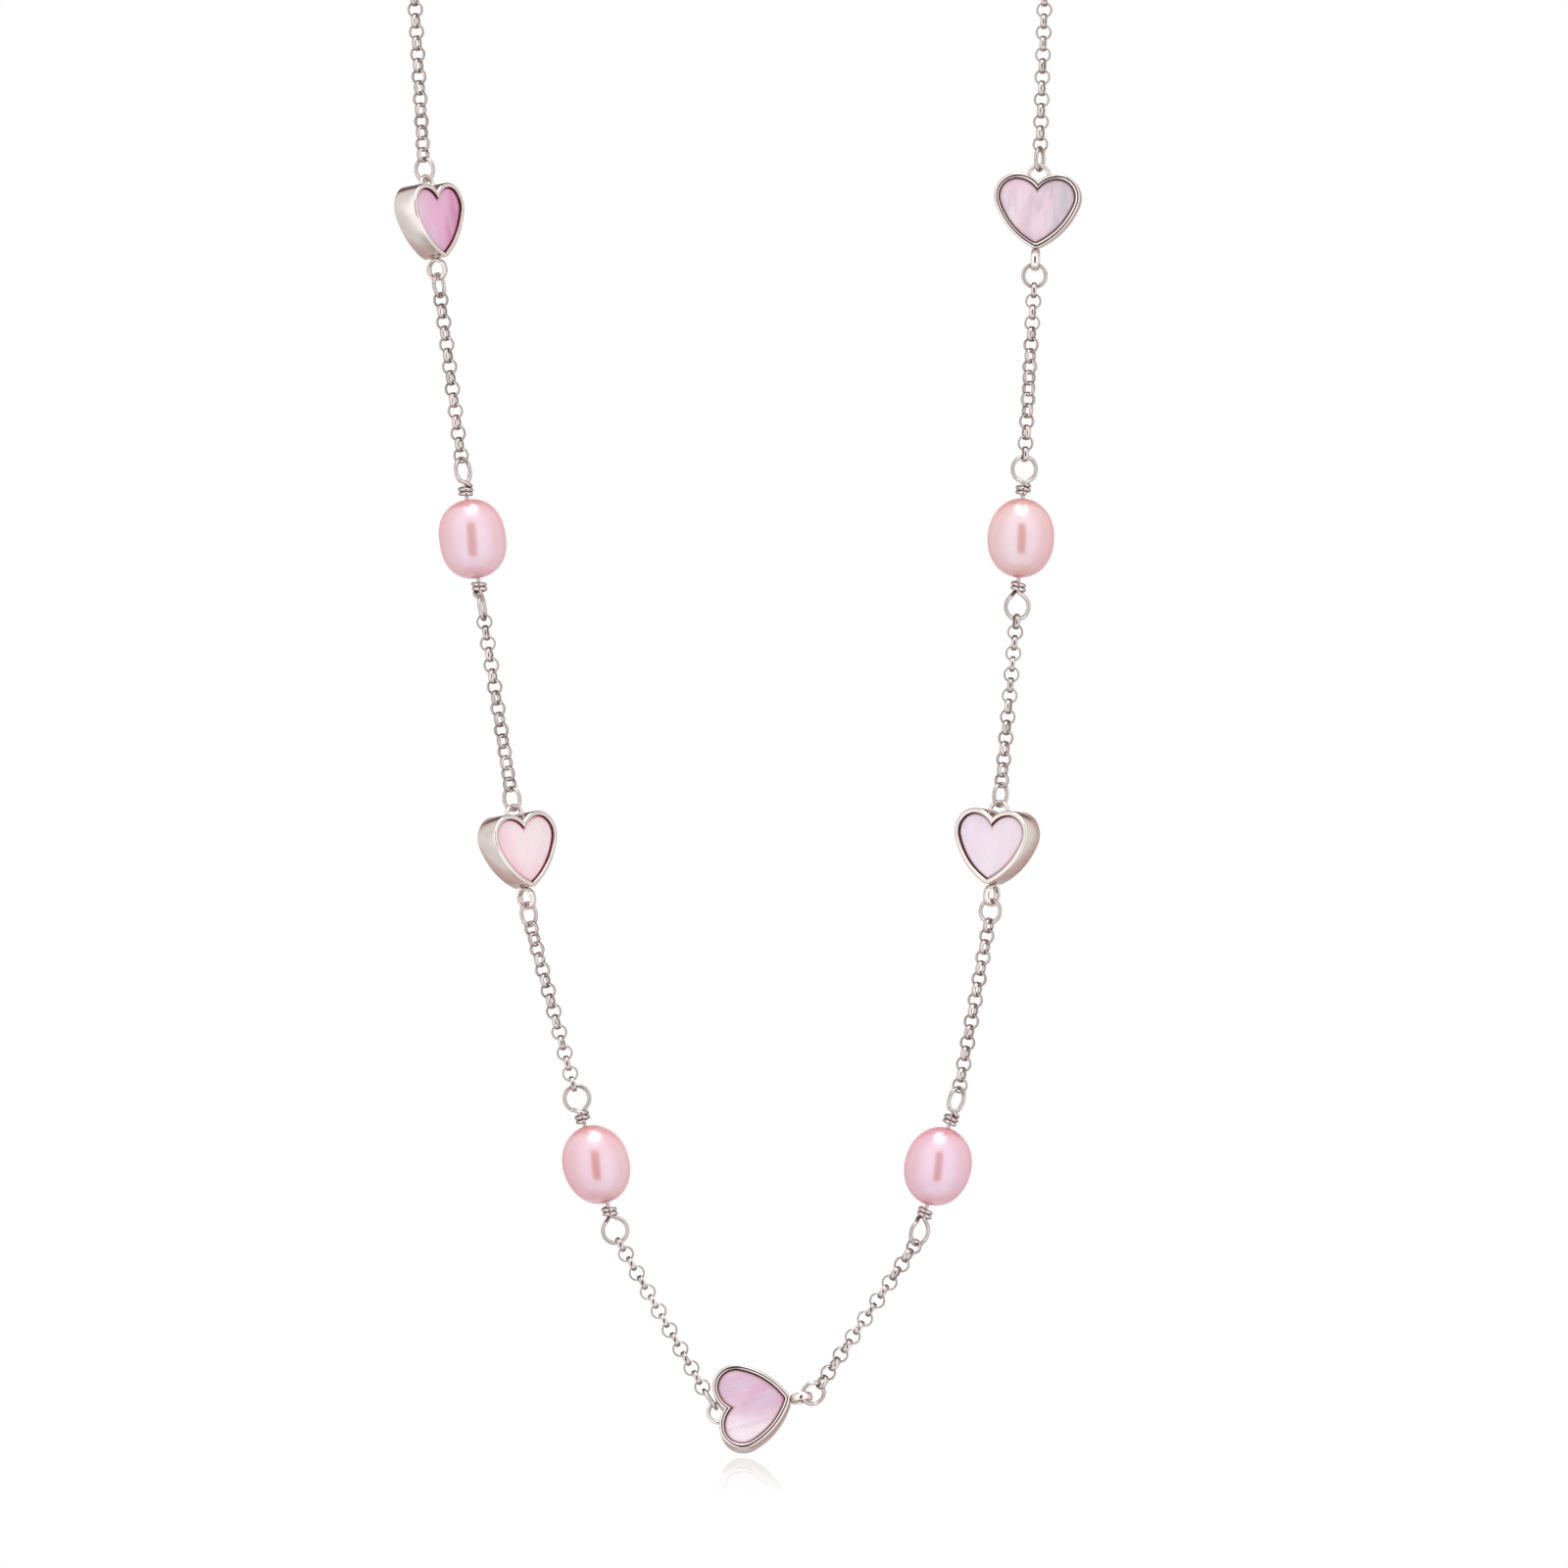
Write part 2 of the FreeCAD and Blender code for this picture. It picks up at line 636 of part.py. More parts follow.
def clasp():
    """The clasp lies flat on the neck form, between the two ends of the back chain."""
    level = math.sqrt(size("arch_radius") ** 2 - size("clasp_half_gap") ** 2) - size("arch_height")
    left_end = -size("clasp_half_gap")
    jump_centre = left_end + size("jump_reach") - PLAY
    loop_reach = size("clasp_loop_radius") - size("clasp_loop_wire") / 2 - PLAY
    loop_centre = jump_centre + size("jump_reach") + loop_reach
    offset = size("clasp_radius") + size("clasp_tube") / 2 + size("clasp_loop_radius")
    centre = loop_centre + offset
    placement = Placement(Vector(centre, 0, level), Rotation())
    clasp_tube(placement)
    clasp_bolt(placement)
    clasp_spring(placement)
    left = Vector(-1, 0, 0)
    jump_ring("clasp_jump_ring", Vector(jump_centre, 0, level), left, 0)
    end_reach = size("end_ring_radius") - size("end_ring_wire") / 2 - PLAY
    end_centre = size("clasp_half_gap") - end_reach
    radius_rule = "Dimensions.end_ring_radius"
    wire_rule = "Dimensions.end_ring_wire / 2"
    round_ring("end_ring", Vector(end_centre, 0, level), -left, 0, radius_rule, wire_rule)


# ---------------------------------------------------------------- the strands


def rings_of(where):
    """The jump rings above and below a heart. Returns where the chain touches each of them."""
    top, foot = heart_ends(where)
    down = strand_direction(HEARTS[where][2])
    reach = size("jump_reach")
    above, below = JUMP_TURNS[where]
    jump_ring(f"jump_ring_above_{where}", top - down * reach, down, above)
    jump_ring(f"jump_ring_below_{where}", foot + down * reach, down, below)
    return top - down * (2 * reach), foot + down * (2 * reach)


def lowest_ring(side):
    """The jump ring between the last chain and the lowest heart.

    Returns its contact with the heart, its contact with the chain, and its turn."""
    x, z, lean, _ = HEARTS["5"]
    along = strand_direction(lean)
    turn, ring_lean = JUMP_TURNS[f"5_{side}"]
    down = strand_direction(ring_lean)
    reach = size("jump_reach")
    if side == "left":
        # drawn sideways against the round loop in the cleft
        loop = Vector(x, 0, z) - along * size("cleft_loop_height")
        contact = loop - down * (size("cleft_loop_radius") - size("cleft_loop_wire") / 2 - 7 * PLAY)
    else:
        # drawn against the upper edge of the band on the point
        up = Vector(-along.z, 0, along.x)
        contact = heart_ends("5")[1] - up * 0.35 - along * (6 * PLAY)
    jump_ring(f"jump_ring_5_{side}", contact - down * reach, down, turn)
    return contact, contact - down * (2 * reach), turn


def sideways(loop_turn):
    """A wire loop that faces sideways takes one more link before the link that the strand folds at."""
    return int(loop_turn > 45)


def turn_beside(loop_turn):
    """The turn of the link that hangs on a wire loop."""
    return (loop_turn - 90) * 0.6 if sideways(loop_turn) else 90 + loop_turn / 2


def strand(side):
    """One side of the necklace, from the back chain down to the lowest heart."""
    start = back_chain(side)
    first_turn = 0.0
    skip = 0
    spare = []
    for number in (1, 3, 5):
        where = f"{number}_{side}"
        if number == 5:
            _, ring_top, above = lowest_ring(side)
        else:
            heart(where)
            ring_top, ring_foot = rings_of(where)
            above, below = JUMP_TURNS[where]
        run = straight_run(start, ring_top, first_turn, above - 90)
        chain_node(f"chain_{where}", run[skip:])
        if number > 1:
            spare = spare + run[:skip]
        if spare:
            chain_node(f"end_links_{number - 1}_{side}", spare)
        if number == 5:
            return
        place = f"{number + 1}_{side}"
        pearl(place)
        pearl_wire(place)
        wire_top, start = pearl_ends(place)
        upper_turn, lower_turn = PEARLS[place][3:]
        run = straight_run(ring_foot, wire_top, below + 90, turn_beside(upper_turn))
        last = len(run) - sideways(upper_turn)
        chain_node(f"chain_{place}", run[:last])
        spare = run[last:]
        first_turn = turn_beside(lower_turn)
        skip = sideways(lower_turn)


master = link_master()
clasp()
strand("left")
strand("right")
heart("5")
doc.recompute()

failed = [o.Name for o in doc.Objects if {"Invalid", "Error"} & set(o.State)]
bad = [p.Label for p in subparts if p.Shape.isNull() or not p.Shape.isValid() or not p.Shape.Solids]
if failed or bad:
    raise RuntimeError(f"failed objects {failed}, bad sub-parts {bad}")
for piece in subparts:
    piece.Shape.exportStep(f"parts/{piece.Label}.step")
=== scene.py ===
import json
import math

import bpy
import numpy as np
from mathutils import Matrix, Vector, noise


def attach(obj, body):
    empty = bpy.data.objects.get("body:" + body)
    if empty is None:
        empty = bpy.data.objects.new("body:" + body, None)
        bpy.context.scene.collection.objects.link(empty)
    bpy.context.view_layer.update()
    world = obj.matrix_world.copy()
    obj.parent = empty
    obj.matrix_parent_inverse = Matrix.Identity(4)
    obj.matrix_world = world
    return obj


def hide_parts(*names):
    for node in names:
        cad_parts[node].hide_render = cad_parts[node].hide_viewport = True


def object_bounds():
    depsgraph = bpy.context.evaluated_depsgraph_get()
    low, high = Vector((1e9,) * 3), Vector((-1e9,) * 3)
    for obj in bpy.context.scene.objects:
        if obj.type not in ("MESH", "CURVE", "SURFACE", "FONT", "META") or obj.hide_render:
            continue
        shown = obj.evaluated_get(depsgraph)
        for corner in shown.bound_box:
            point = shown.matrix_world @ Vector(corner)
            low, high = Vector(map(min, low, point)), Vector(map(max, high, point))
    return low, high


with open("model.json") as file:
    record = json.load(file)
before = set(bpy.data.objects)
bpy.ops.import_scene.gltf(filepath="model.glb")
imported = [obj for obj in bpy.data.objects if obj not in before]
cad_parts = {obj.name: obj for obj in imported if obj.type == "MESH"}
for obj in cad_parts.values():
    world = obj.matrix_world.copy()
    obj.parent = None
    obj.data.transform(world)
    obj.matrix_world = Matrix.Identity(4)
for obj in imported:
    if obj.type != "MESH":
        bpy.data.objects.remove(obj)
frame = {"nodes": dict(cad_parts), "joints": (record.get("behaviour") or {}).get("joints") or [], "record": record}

cad_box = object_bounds()
MM = 0.001
# points of a CAD mesh that are nearer than this, in metres, are one point
POINT_STEP = 1e-7

# ---------------------------------------------------------------- sizes, in millimetres, as in the CAD model

LINK_RADIUS, LINK_THICKNESS, LINK_WIDTH = 0.67, 0.2, 0.54
JUMP_OUTER, JUMP_WIRE = 2.85, 0.43
END_RING_RADIUS, END_RING_WIRE = 1.45, 0.5

LOBE_X, LOBE_Z, LOBE_RADIUS = 2.2, 1.6, 2.5
CLEFT_RADIUS = 3.2
SIDE_RADIUS, SIDE_X = 8.5, 3.427
TIP_RADIUS = 0.95
RIM_WIDTH, HEART_DEPTH, PARTITION = 0.55, 2.9, 0.5
SHELL_THICKNESS, GLUE_GAP = 0.85, 0.03
CLEFT_LOOP_RADIUS, CLEFT_LOOP_WIRE, CLEFT_LOOP_HEIGHT = 1.13, 0.43, 3.87
POINT_LOOP_RADIUS, POINT_LOOP_THICKNESS, POINT_LOOP_WIDTH, POINT_LOOP_HEIGHT = 1.04, 0.42, 0.85, 5.2

PEARL_WIDTH, PEARL_LENGTH, PEARL_BORE = 7.3, 8.66, 0.56
WIRE, NECK, LOOP, LOOP_HEIGHT = 0.44, 5.8, 1.36, 7.47
WRAP_RADIUS, WRAP_PITCH, WRAP_TURNS = 0.62, 0.48, 2.0
# centre (x, z) of each heart, then in degrees the lean of its strand from straight down
# and its turn about the strand
HEARTS = {
    "1_left": (-32.2, -71.4, 7.0, 57.0),
    "1_right": (33.6, -70.3, -2.5, -6.0),
    "3_left": (-22.6, -139.7, 8.3, 45.0),
    "3_right": (29.1, -139.3, -5.0, -34.0),
    "5": (2.85, -199.95, 100.0, 16.0),
}
# the turn of the upper and the lower loop of each pearl's wire, in degrees
WIRE_TURNS = {"2_left": (58, 80), "2_right": (18, 22), "4_left": (4, 8), "4_right": (55, 47)}


# ---------------------------------------------------------------- shapes

def tube(points, radii, sides):
    """Round wire along the points, closed by a flat face at each end."""
    count = len(points)
    tangents = []
    for k in range(count):
        before = points[max(k - 1, 0)]
        after = points[min(k + 1, count - 1)]
        tangents.append((after - before).normalized())
    up = tangents[0].orthogonal().normalized()
    verts, faces = [], []
    for k in range(count):
        up = (up - tangents[k] * up.dot(tangents[k])).normalized()
        side = tangents[k].cross(up)
        for j in range(sides):
            angle = 2 * math.pi * j / sides
            verts.append(points[k] + (up * math.cos(angle) + side * math.sin(angle)) * radii[k])
    for k in range(count - 1):
        a, b = k * sides, (k + 1) * sides
        for j in range(sides):
            n = (j + 1) % sides
            faces.append((a + j, a + n, b + n, b + j))
    faces.append(tuple(reversed(range(sides))))
    faces.append(tuple(range((count - 1) * sides, count * sides)))
    return verts, faces


def rounded_ends(points, radius):
    """A line and its radii with short steps added at both ends, so that the tube closes in a dome."""
    steps = (0.0, 0.3, 0.6, 0.85, 1.0)
    first = (points[0] - points[1]).normalized()
    last = (points[-1] - points[-2]).normalized()
    head = [points[0] + first * radius * s for s in reversed(steps)]
    tail = [points[-1] + last * radius * s for s in steps]
    radii = [radius * max(0.12, math.sqrt(1 - s * s)) for s in steps]
    return head + points[1:-1] + tail, list(reversed(radii)) + [radius] * (len(points) - 2) + radii


def lathe(profile, segments):
    """A closed ring about Z from a closed section of (reach, height) points."""
    count = len(profile)
    verts, faces = [], []
    for k in range(segments):
        angle = 2 * math.pi * k / segments
        for reach, height in profile:
            verts.append(Vector((reach * math.cos(angle), reach * math.sin(angle), height)))
    for k in range(segments):
        a, b = k * count, (k + 1) % segments * count
        for j in range(count):
            n = (j + 1) % count
            faces.append((a + j, b + j, b + n, a + n))
    return verts, faces


def oval_section(reach, width, thickness, count=16):
    """The section of a round wire or a domed band: an oval, so many points round."""
    points = []
    for k in range(count):
        angle = 2 * math.pi * k / count
        c, s = math.cos(angle), math.sin(angle)
        points.append((reach + c * thickness / 2, s * width / 2))
    return points


def split_ring(reach, radius, gap=0.035, segments=72, sides=16):
    """A jump ring: round wire bent to a circle, its two cut ends almost touching."""
    half = gap / 2 / reach
    points = []
    for k in range(segments + 1):
        angle = half + (2 * math.pi - 2 * half) * k / segments
        points.append(Vector((reach * math.cos(angle), reach * math.sin(angle), 0)))
    return tube(points, [radius] * len(points), sides)


def heart_loop(inset, per_arc=26):
    """Points round the heart outline, set in from the outside, from the tip up the right side and back."""
    side_z = LOBE_Z + math.sqrt((SIDE_RADIUS - LOBE_RADIUS) ** 2 - (LOBE_X + SIDE_X) ** 2)
    cleft_z = LOBE_Z + LOBE_RADIUS - CLEFT_RADIUS
    join = math.atan2(LOBE_Z - side_z, LOBE_X + SIDE_X)
    tip_z = side_z - math.sqrt((SIDE_RADIUS - TIP_RADIUS) ** 2 - SIDE_X ** 2)
    tip = -math.acos(SIDE_X / (SIDE_RADIUS - TIP_RADIUS))
    notch = math.acos(-LOBE_X / (CLEFT_RADIUS - inset))
    arcs = (
        (0.0, tip_z, TIP_RADIUS - inset, -math.pi / 2, tip),
        (-SIDE_X, side_z, SIDE_RADIUS - inset, tip, join),
        (LOBE_X, LOBE_Z, LOBE_RADIUS - inset, join, math.pi / 2),
        (LOBE_X, cleft_z, CLEFT_RADIUS - inset, math.pi / 2, notch),
    )
    right = []
    for x, z, radius, start, end in arcs:
        for k in range(per_arc):
            angle = start + (end - start) * k / per_arc
            right.append((x + radius * math.cos(angle), z + radius * math.sin(angle)))
    top = cleft_z + (CLEFT_RADIUS - inset) * math.sin(notch)
    left = [(-x, z) for x, z in reversed(right[1:])]
    return right + [(0.0, top)] + left


def heart_shell(profile):
    """A closed heart from loops at (inset, depth), closed by a flat face at the first and the last loop."""
    verts, faces = [], []
    for inset, depth in profile:
        verts += [Vector((x, depth, z)) for x, z in heart_loop(inset)]
    count = len(verts) // len(profile)
    for row in range(len(profile) - 1):
        a, b = row * count, (row + 1) * count
        for j in range(count):
            n = (j + 1) % count
            faces.append((a + j, b + j, b + n, a + n))
    faces.append(tuple(range(count)))
    faces.append(tuple(reversed(range(len(verts) - count, len(verts)))))
    return verts, faces


def moved(shape, matrix):
    verts, faces = shape
    return [matrix @ v for v in verts], faces


def joined(shapes):
    verts, faces = [], []
    for more_verts, more_faces in shapes:
        start = len(verts)
        verts += more_verts
        faces += [tuple(i + start for i in face) for face in more_faces]
    return verts, faces


# ---------------------------------------------------------------- places, read from the CAD model

def separate_solids(node):
    """The distinct points of each separate solid of a CAD node."""
    mesh = frame["nodes"][node].data
    flat = np.empty(len(mesh.vertices) * 3)
    mesh.vertices.foreach_get("co", flat)
    steps = np.round(flat.reshape(-1, 3) / POINT_STEP).astype(np.int64)
    distinct, index = np.unique(steps, axis=0, return_inverse=True)
    index = index.ravel()
    edges = np.empty(len(mesh.edges) * 2, dtype=np.int32)
    mesh.edges.foreach_get("vertices", edges)
    owner = list(range(len(distinct)))

    def root(i):
        while owner[i] != i:
            owner[i] = owner[owner[i]]
            i = owner[i]
        return i

    for a, b in index[edges].reshape(-1, 2).tolist():
        owner[root(a)] = root(b)
    groups = {}
    for i in range(len(distinct)):
        groups.setdefault(root(i), []).append(i)
    return [distinct[group] * POINT_STEP for group in groups.values()]


def ring_place(points):
    """The matrix that sets a ring made about Z onto a solid of the CAD model, by its centre and thin axis."""
    spread = np.cov((points - points.mean(0)).T)
    _, axes = np.linalg.eigh(spread)
    axis = Vector(axes[:, 0]).normalized()
    centre = Vector(points.mean(0))
    return Matrix.Translation(centre) @ axis.to_track_quat("Z", "Y").to_matrix().to_4x4()


def frame_matrix(origin, down, away):
    """Local Z up the strand, local Y away from the viewer."""
    z = -down
    x = away.cross(z).normalized()
    y = z.cross(x)
    matrix = Matrix((x, y, z)).transposed().to_4x4()
    return Matrix.Translation(origin) @ matrix


def heart_place(where):
    x, z, lean, turn = HEARTS[where]
    lean, turn = math.radians(lean), math.radians(turn)
    down = Vector((math.sin(lean), 0, -math.cos(lean)))
    side = Vector((-down.z, 0, down.x))
    away = Vector((0, 1, 0)) * math.cos(turn) - side * math.sin(turn)
    return frame_matrix(Vector((x, 0, z)) * MM, down, away)


def joint_place(name):
    joint = next(j for j in frame["joints"] if j["name"] == name)
    return frame_matrix(Vector(joint["pos_m"]), Vector(joint["axis"]), Vector((0, 1, 0)))


# ---------------------------------------------------------------- node helpers

def add(tree, kind, inputs=None, **settings):
    """A node with its settings and inputs; an input is a value or another node's output."""
    node = tree.nodes.new(kind)
    for key, value in settings.items():
        setattr(node, key, value)
    for key, value in (inputs or {}).items():
        if isinstance(value, bpy.types.NodeSocket):
            tree.links.new(value, node.inputs[key])
        else:
            node.inputs[key].default_value = value
    return node


def maths(tree, operation, a, b=0.0):
    return add(tree, "ShaderNodeMath", {0: a, 1: b}, operation=operation).outputs[0]


def smooth(tree, value, low, high, bottom=0.0, top=1.0):
    inputs = {"Value": value, "From Min": low, "From Max": high, "To Min": bottom, "To Max": top}
    return add(tree, "ShaderNodeMapRange", inputs, interpolation_type="SMOOTHSTEP").outputs["Result"]


def blend(tree, factor, a, b):
    """Colour a at factor 0, colour b at factor 1."""
    return add(tree, "ShaderNodeMix", {0: factor, 6: a, 7: b}, data_type="RGBA").outputs[2]


def noise_texture(tree, vector, scale, detail=3.0, roughness=0.5, distortion=0.0):
    inputs = {
        "Vector": vector,
        "Scale": scale,
        "Detail": detail,
        "Roughness": roughness,
        "Distortion": distortion,
    }
    return add(tree, "ShaderNodeTexNoise", inputs).outputs["Fac"]


def stretched(tree, vector, scale, turn=(0, 0, 0), shift=(0, 0, 0)):
    inputs = {"Vector": vector, "Location": shift, "Rotation": turn, "Scale": scale}
    return add(tree, "ShaderNodeMapping", inputs).outputs["Vector"]


def new_material(name):
    material = bpy.data.materials.new(name)
    material.use_nodes = True
    tree = material.node_tree
    tree.nodes.clear()
    output = tree.nodes.new("ShaderNodeOutputMaterial")
    shader = tree.nodes.new("ShaderNodeBsdfPrincipled")
    tree.links.new(shader.outputs[0], output.inputs["Surface"])
    vector = tree.nodes.new("ShaderNodeTexCoord").outputs["Object"]
    return material, tree, shader, vector


def set_value(shader, **values):
    for key, value in values.items():
        shader.inputs[key.replace("_", " ")].default_value = value


# ---------------------------------------------------------------- materials

def silver(name, light, dark, rough, grazing):
    """Polished, lightly worn silver: faint tarnish clouds, hairline scratches and soft unevenness."""
    material, tree, shader, vector = new_material(name)
    clouds = noise_texture(tree, vector, 420, 3, 0.55)
    body = blend(tree, smooth(tree, clouds, 0.38, 0.7), light, dark)
    # painted shade: the silver is darkened at the foot of the rim, round the shell, where the recess lies in shade
    painted_recess_shade = add(tree, "ShaderNodeAttribute", attribute_name="painted_recess_shade").outputs["Fac"]
    body = blend(tree, painted_recess_shade, body, (0.13, 0.055, 0.05, 1))
    tree.links.new(body, shader.inputs["Base Color"])
    wear = noise_texture(tree, vector, 2600, 4, 0.6)
    tree.links.new(smooth(tree, wear, 0.25, 0.8, rough, rough + 0.07), shader.inputs["Roughness"])
    scratches = noise_texture(tree, stretched(tree, vector, (1, 1, 0.06), (0.5, 0.3, 0.8)), 9000, 2, 0.5)
    uneven = noise_texture(tree, vector, 650, 2, 0.4)
    height = maths(tree, "ADD", maths(tree, "MULTIPLY", scratches, 0.22), uneven)
    bump = add(tree, "ShaderNodeBump", {"Strength": 0.04, "Distance": 0.00003, "Height": height})
    tree.links.new(bump.outputs["Normal"], shader.inputs["Normal"])
    set_value(shader, Metallic=1.0, Specular_Tint=grazing)
    return material


def nacre_pearl(name, seed, light, deep):
    """A pearl: a warm pink body under a strong, cool, softly blurred lustre."""
    material, tree, shader, vector = new_material(name)
    place = stretched(tree, vector, (1, 1, 1), shift=(seed * 0.013, seed * 0.007, seed * 0.011))
    clouds = noise_texture(tree, place, 190, 3, 0.5, 0.6)
    body = blend(tree, smooth(tree, clouds, 0.3, 0.72), light, deep)
    # the colour gathers at the two drilled ends
    height = add(tree, "ShaderNodeSeparateXYZ", {"Vector": vector}).outputs["Z"]
    ends = smooth(tree, maths(tree, "ABSOLUTE", height), 0.0034, 0.0043)
    body = blend(tree, maths(tree, "MULTIPLY", ends, 0.6), body, (0.78, 0.2, 0.2, 1))
    tree.links.new(body, shader.inputs["Base Color"])
    grain = noise_texture(tree, place, 1100, 2, 0.5)
    tree.links.new(smooth(tree, grain, 0.2, 0.8, 0.2, 0.24), shader.inputs["Roughness"])
    rings = noise_texture(tree, stretched(tree, place, (0.25, 0.25, 1.0)), 900, 2, 0.5)
    height = maths(tree, "ADD", maths(tree, "MULTIPLY", grain, 0.25), rings)
    bump = add(tree, "ShaderNodeBump", {"Strength": 0.025, "Distance": 0.00004, "Height": height})
    tree.links.new(bump.outputs["Normal"], shader.inputs["Normal"])
    set_value(shader, IOR=3.6, Specular_Tint=(0.5, 0.78, 1.0, 1))
    return material


def shell_inlay(name, seed, pale, pink, deep, angle, grey, side_tint_and_painted_glare, way, amount):
    """Polished mother-of-pearl: clouded bands with fine growth lines, deeper in colour round its edge, partly from
    the dye at its border and partly painted shade and reflection from the rim.
    """
    material, tree, shader, vector = new_material(name)
    turned = stretched(tree, vector, (1, 1, 1), (0, math.radians(angle), 0), (seed * 0.021, 0, seed * 0.017))
    soft = noise_texture(tree, stretched(tree, turned, (1.0, 1.0, 0.38)), 230, 2, 0.5, 0.8)
    streaks = noise_texture(tree, stretched(tree, turned, (1.0, 1.0, 0.22)), 1100, 1, 0.5, 0.3)
    fine = noise_texture(tree, stretched(tree, turned, (1.0, 1.0, 0.12)), 2000, 1, 0.5)
    body = blend(tree, smooth(tree, soft, 0.36, 0.66), pink, pale)
    # one side has another colour, with an uneven border: on hearts 1 and 3 the shell's own tint, on heart 5 a
    # painted reflection of the white table along its lower side
    leaning = stretched(tree, vector, (1, 1, 1), (0, math.radians(way), 0))
    along = add(tree, "ShaderNodeSeparateXYZ", {"Vector": leaning}).outputs["X"]
    along = maths(tree, "ADD", along, maths(tree, "MULTIPLY", maths(tree, "SUBTRACT", soft, 0.5), 0.006))
    body = blend(tree, smooth(tree, along, -0.0008, 0.003, 0.0, amount), body, side_tint_and_painted_glare)
    body = blend(tree, smooth(tree, streaks, 0.4, 0.72, 0.0, 0.55), body, grey)
    body = blend(tree, smooth(tree, fine, 0.45, 0.85, 0.0, 0.12), body, (0.93, 0.88, 0.89, 1))
    # the edge colour: partly the dye at the shell's border, partly painted shade and reflection of the rim's inner
    # wall
    dyed_edge_and_painted_shade = add(tree, "ShaderNodeAttribute", attribute_name="dyed_edge_and_painted_shade").outputs["Fac"]
    body = blend(tree, dyed_edge_and_painted_shade, body, deep)
    tree.links.new(body, shader.inputs["Base Color"])
    tree.links.new(smooth(tree, streaks, 0.3, 0.8, 0.2, 0.34), shader.inputs["Roughness"])
    bump = add(tree, "ShaderNodeBump", {"Strength": 0.02, "Distance": 0.00003, "Height": streaks})
    tree.links.new(bump.outputs["Normal"], shader.inputs["Normal"])
    set_value(shader, IOR=1.75, Specular_Tint=(1.0, 0.9, 0.97, 1), Coat_Weight=0.35, Coat_Roughness=0.06)
    return material


def spring_steel(name):
    """Plain drawn steel wire with fine dark marks."""
    material, tree, shader, vector = new_material(name)
    marks = noise_texture(tree, vector, 3000, 3, 0.6)
    steel = blend(tree, marks, (0.42, 0.42, 0.43, 1), (0.62, 0.61, 0.6, 1))
    tree.links.new(steel, shader.inputs["Base Color"])
    tree.links.new(smooth(tree, marks, 0.3, 0.8, 0.25, 0.4), shader.inputs["Roughness"])
    set_value(shader, Metallic=1.0)
    return material


# colour, tarnished colour, roughness, colour at a grazing angle
SILVER_CHAIN = silver("SilverChain", (0.64, 0.58, 0.55, 1), (0.46, 0.41, 0.39, 1), 0.1, (0.4, 0.33, 0.31, 1))
SILVER_WIRE = silver("SilverWire", (0.64, 0.58, 0.55, 1), (0.48, 0.43, 0.41, 1), 0.1, (0.4, 0.33, 0.31, 1))
SILVER_CAST = silver("SilverCast", (0.82, 0.755, 0.72, 1), (0.73, 0.665, 0.63, 1), 0.08, (0.6, 0.52, 0.5, 1))
SPRING_STEEL = spring_steel("SpringSteel")

# seed, fullness of the outline (2 is an ellipse), lighter and deeper body colour
PEARL_LOOKS = {
    "2_left": (3, 2.3, (0.94, 0.54, 0.53, 1), (0.93, 0.46, 0.45, 1)),
    "2_right": (8, 2.1, (0.94, 0.54, 0.48, 1), (0.93, 0.46, 0.4, 1)),
    "4_left": (14, 2.1, (0.94, 0.51, 0.49, 1), (0.92, 0.42, 0.41, 1)),
    "4_right": (21, 2.1, (0.93, 0.49, 0.52, 1), (0.91, 0.41, 0.44, 1)),
}
# the seed of the pattern, its pale, pink and streak colours, its edge colour (partly dye, partly painted shade and
# reflection), the angle of the growth lines, then the colour towards one side (on heart 5 a painted glare), the
# way to that side and how strong it gets
SHELL_LOOKS = {
    "1_left": dict(
        seed=2, pale=(0.74, 0.52, 0.66, 1), pink=(0.76, 0.38, 0.57, 1), grey=(0.62, 0.42, 0.56, 1),
        deep=(0.45, 0.08, 0.22, 1), angle=8, side_tint_and_painted_glare=(0.58, 0.14, 0.34, 1), way=-20, amount=0.9,
    ),
    "1_right": dict(
        seed=5, pale=(0.84, 0.76, 0.79, 1), pink=(0.86, 0.64, 0.72, 1), grey=(0.5, 0.45, 0.48, 1),
        deep=(0.26, 0.1, 0.12, 1), angle=0, side_tint_and_painted_glare=(0.62, 0.55, 0.61, 1), way=10, amount=0.7,
    ),
    "3_left": dict(
        seed=9, pale=(0.9, 0.72, 0.77, 1), pink=(0.88, 0.58, 0.67, 1), grey=(0.84, 0.68, 0.72, 1),
        deep=(0.8, 0.24, 0.34, 1), angle=-12, side_tint_and_painted_glare=(0.84, 0.74, 0.75, 1), way=0, amount=0.8,
    ),
    "3_right": dict(
        seed=12, pale=(0.82, 0.72, 0.79, 1), pink=(0.78, 0.63, 0.75, 1), grey=(0.74, 0.67, 0.74, 1),
        deep=(0.26, 0.08, 0.1, 1), angle=14, side_tint_and_painted_glare=(0.86, 0.68, 0.74, 1), way=20, amount=0.6,
    ),
    # the pale lower side of this heart is a painted reflection of the white table below
    "5": dict(
        seed=17, pale=(0.75, 0.6, 0.67, 1), pink=(0.69, 0.42, 0.58, 1), grey=(0.6, 0.5, 0.55, 1),
        deep=(0.36, 0.09, 0.1, 1), angle=8, side_tint_and_painted_glare=(0.92, 0.83, 0.86, 1), way=180, amount=0.8,
    ),
}


# ---------------------------------------------------------------- pieces

BODIES = frame["record"]["behaviour"]["bodies"]
BODY_OF = {node: body for body, nodes in BODIES.items() for node in nodes}


